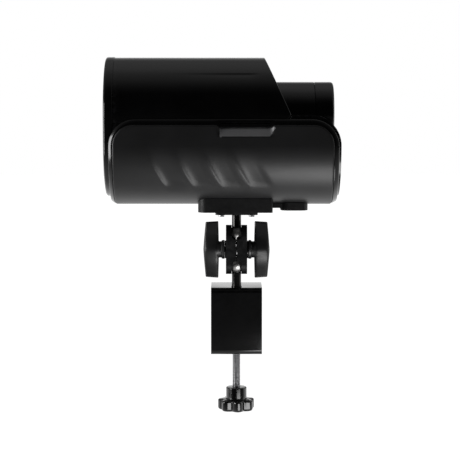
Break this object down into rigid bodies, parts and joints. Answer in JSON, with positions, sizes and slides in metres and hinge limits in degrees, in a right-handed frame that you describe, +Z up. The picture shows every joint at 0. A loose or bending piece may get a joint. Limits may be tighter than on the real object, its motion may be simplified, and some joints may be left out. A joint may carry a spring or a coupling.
{
  "type": "motorised stroking massager",
  "caption": "Motorised stroking massager (adult product): drum-shaped head with a belt-driven sleeve carriage, on a double ball-joint arm and a screw desk clamp.",
  "frame": {"origin": "on the clamp screw's axis, at the underside of the rubber pad under the upper jaw, where the desk top meets it", "axes": "+X along the stroke from the front opening to the tail, +Y from the clamp's front plate into the desk gap, +Z up along the clamp screw"},
  "size_m": [0.2312, 0.122, 0.3586],
  "materials": {
    "clamp_black": "glossy black stoved paint",
    "pad_rubber": "matt black rubber",
    "screw_steel": "turned steel thread",
    "knob_black": "glossy moulded plastic",
    "stud_metal": "dark polished steel",
    "arm_black": "matt black powder coat on cast metal",
    "wing_black": "satin moulded plastic",
    "spring_steel": "bright steel",
    "shoe_black": "fine-grained moulded plastic",
    "body_gloss": "polished black plastic",
    "grip_satin": "satin soft-touch plastic",
    "inner_plastic": "plain moulded plastic",
    "button_rubber": "silicone key",
    "light_pipe": "translucent diffuser",
    "board_green": "solder-masked board",
    "bronze": "sintered bronze",
    "belt_rubber": "toothed rubber belt",
    "pulley_alloy": "turned alloy",
    "motor_steel": "plated can",
    "cell_wrap": "heat-shrunk film",
    "sleeve_soft": "soft elastomer"
  },
  "bodies": {
    "clamp": {"clamp_frame": "clamp_black", "jaw_pad": "pad_rubber"},
    "foot": {"pressure_foot": "clamp_black", "foot_rubber": "pad_rubber"},
    "screw": {"clamp_screw": "screw_steel", "star_knob": "knob_black"},
    "lower_stud": {"lower_ball_stud": "stud_metal"},
    "arm": {"arm_shell_left": "arm_black", "arm_shell_right": "arm_black", "arm_bolt": "screw_steel", "arm_spring": "spring_steel", "arm_washers": "screw_steel"},
    "knob_left": {"wing_knob_left": "wing_black"},
    "knob_right": {"wing_knob_right": "wing_black"},
    "upper_stud": {"upper_ball_stud": "stud_metal", "stud_nut": "screw_steel"},
    "lever": {"release_lever": "shoe_black"},
    "power": {"power_button": "button_rubber"},
    "plus": {"plus_button": "button_rubber"},
    "minus": {"minus_button": "button_rubber"},
    "slider": {"carriage": "inner_plastic", "carriage_bushes": "bronze", "belt_clamp": "inner_plastic"},
    "case": {"sleeve_case": "body_gloss", "sleeve": "sleeve_soft"},
    "cap": {"case_cap": "body_gloss"},
    "drive": {"drive_pulley": "pulley_alloy", "drive_shaft": "screw_steel"},
    "idler": {"idler_pulley": "pulley_alloy"},
    "head": {"adapter_plate": "shoe_black", "plate_screws": "arm_black", "mount_shoe": "shoe_black", "accessory_rail": "shoe_black", "lever_pin": "screw_steel", "front_bezel": "body_gloss", "drum_cover": "body_gloss", "body_tub": "body_gloss", "grip_shell": "grip_satin", "trim_frame": "body_gloss", "tail_cap": "body_gloss", "rear_deck": "inner_plastic", "status_light": "light_pipe", "button_board": "board_green", "charge_socket": "inner_plastic", "tail_screws": "screw_steel", "front_bulkhead": "inner_plastic", "rear_bulkhead": "inner_plastic", "guide_rods": "screw_steel", "drive_belt": "belt_rubber", "shaft_bearing": "screw_steel", "idler_axle": "screw_steel", "motor": "motor_steel", "motor_bracket": "motor_steel", "battery_cells": "cell_wrap", "battery_tray": "inner_plastic", "main_board": "board_green"}
  },
  "joints": [
    {"name": "foot_slide", "type": "slide", "parent": "clamp", "child": "foot", "axis": [0, 0, 1], "range_m": [-0.0035, 0.02]},
    {"name": "screw_turn", "type": "hinge", "parent": "foot", "child": "screw", "pos_m": [0, 0, -0.06], "axis": [0, 0, 1], "range_deg": [-1000, 5755]},
    {"name": "base_swivel", "type": "hinge", "parent": "clamp", "child": "lower_stud", "pos_m": [0, -0.021, 0.0375], "axis": [0, 0, 1], "continuous": true},
    {"name": "arm_tilt", "type": "hinge", "parent": "lower_stud", "child": "arm", "pos_m": [0, -0.021, 0.0375], "axis": [1, 0, 0], "range_deg": [-40, 40]},
    {"name": "knob_left_turn", "type": "hinge", "parent": "arm", "child": "knob_left", "pos_m": [-0.02, -0.021, 0.053], "axis": [1, 0, 0], "continuous": true},
    {"name": "knob_right_turn", "type": "hinge", "parent": "arm", "child": "knob_right", "pos_m": [0.02, -0.021, 0.053], "axis": [1, 0, 0], "continuous": true},
    {"name": "head_tilt", "type": "hinge", "parent": "arm", "child": "upper_stud", "pos_m": [0, -0.021, 0.0685], "axis": [1, 0, 0], "range_deg": [-40, 40]},
    {"name": "head_swivel", "type": "hinge", "parent": "upper_stud", "child": "head", "pos_m": [0, -0.021, 0.0685], "axis": [0, 0, 1], "continuous": true},
    {"name": "lever_press", "type": "hinge", "parent": "head", "child": "lever", "pos_m": [0.028, -0.021, 0.0964], "axis": [0, 1, 0], "range_deg": [0, 6], "stiffness_Nm_per_rad": 0.5, "springref_deg": -2.86},
    {"name": "carriage_slide", "type": "slide", "parent": "head", "child": "slider", "axis": [1, 0, 0], "range_m": [0, 0.08]},
    {"name": "drive_turn", "type": "hinge", "parent": "head", "child": "drive", "pos_m": [0.01, 0.007, 0.135], "axis": [0, 1, 0], "range_deg": [-20, 560]},
    {"name": "idler_turn", "type": "hinge", "parent": "head", "child": "idler", "pos_m": [-0.104, 0.007, 0.135], "axis": [0, 1, 0], "range_deg": [-20, 560]},
    {"name": "case_slide", "type": "slide", "parent": "slider", "child": "case", "axis": [-1, 0, 0], "range_m": [0, 0.06]},
    {"name": "cap_turn", "type": "hinge", "parent": "case", "child": "cap", "pos_m": [0.085, -0.021, 0.188], "axis": [1, 0, 0], "range_deg": [0, 90]},
    {"name": "power_press", "type": "slide", "parent": "head", "child": "power", "axis": [-1, 0, 0], "range_m": [0, 0.001], "stiffness_N_per_m": 300},
    {"name": "plus_press", "type": "slide", "parent": "head", "child": "plus", "axis": [-1, 0, 0], "range_m": [0, 0.001], "stiffness_N_per_m": 300},
    {"name": "minus_press", "type": "slide", "parent": "head", "child": "minus", "axis": [-1, 0, 0], "range_m": [0, 0.001], "stiffness_N_per_m": 300}
  ],
  "couplings": [
    {"joint": "foot_slide", "follows": "screw_turn", "m_per_rad": 0.00019894},
    {"joint": "drive_turn", "follows": "carriage_slide", "rad_per_m": 117.65},
    {"joint": "idler_turn", "follows": "carriage_slide", "rad_per_m": 117.65}
  ]
}
